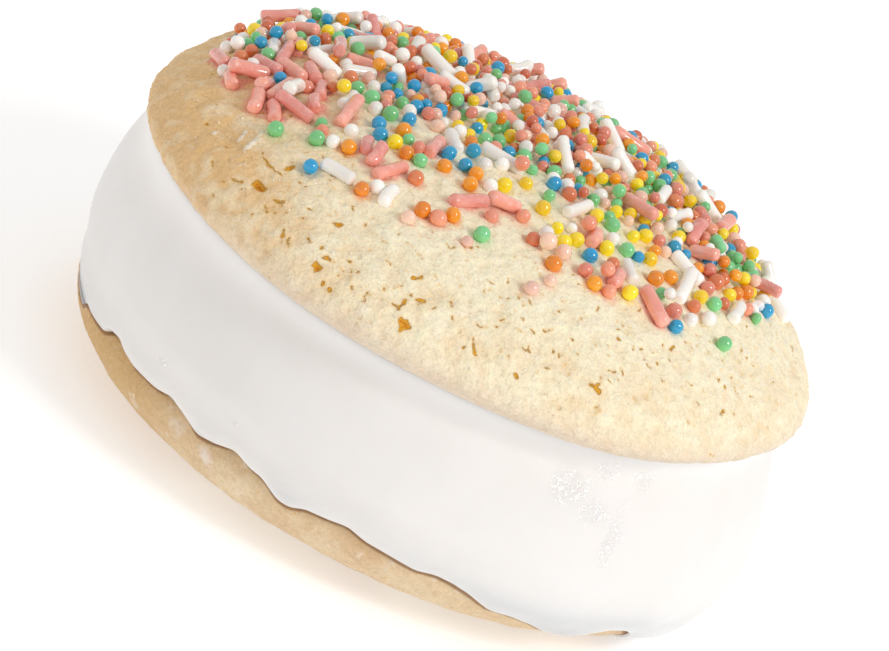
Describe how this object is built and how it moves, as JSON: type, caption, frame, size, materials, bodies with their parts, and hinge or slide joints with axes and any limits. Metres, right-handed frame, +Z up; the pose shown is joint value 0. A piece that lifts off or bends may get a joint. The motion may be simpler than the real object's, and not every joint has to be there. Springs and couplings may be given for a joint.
{
  "type": "ice cream sandwich",
  "caption": "Ice cream sandwich: two round domed sugar cookies with a thick vanilla ice cream disc between them, melting over the lower one, and rod and ball sprinkles on top.",
  "frame": {"origin": "centre of the flat spot under the lower cookie on which the sandwich rests", "axes": "+Z up through the stack, from the lower cookie to the sprinkles; -Y towards the side seen in the picture; +X towards the side where the ice cream has run down over the lower cookie"},
  "size_m": [0.0871, 0.0869, 0.0442],
  "materials": {
    "baked_dough_tan": "matt baked dough, golden tan, a matt plastic stands in for it",
    "vanilla_ice_cream": "smooth half-melted ice cream with a wet sheen, a gloss plastic stands in for it",
    "baked_dough_pale": "matt baked dough, pale cream, with sugar sprinkles fused to it, a matt plastic stands in for it"
  },
  "bodies": {
    "root": {"bottom_cookie": "baked_dough_tan", "ice_cream": "vanilla_ice_cream", "top_cookie": "baked_dough_pale"}
  },
  "joints": []
}
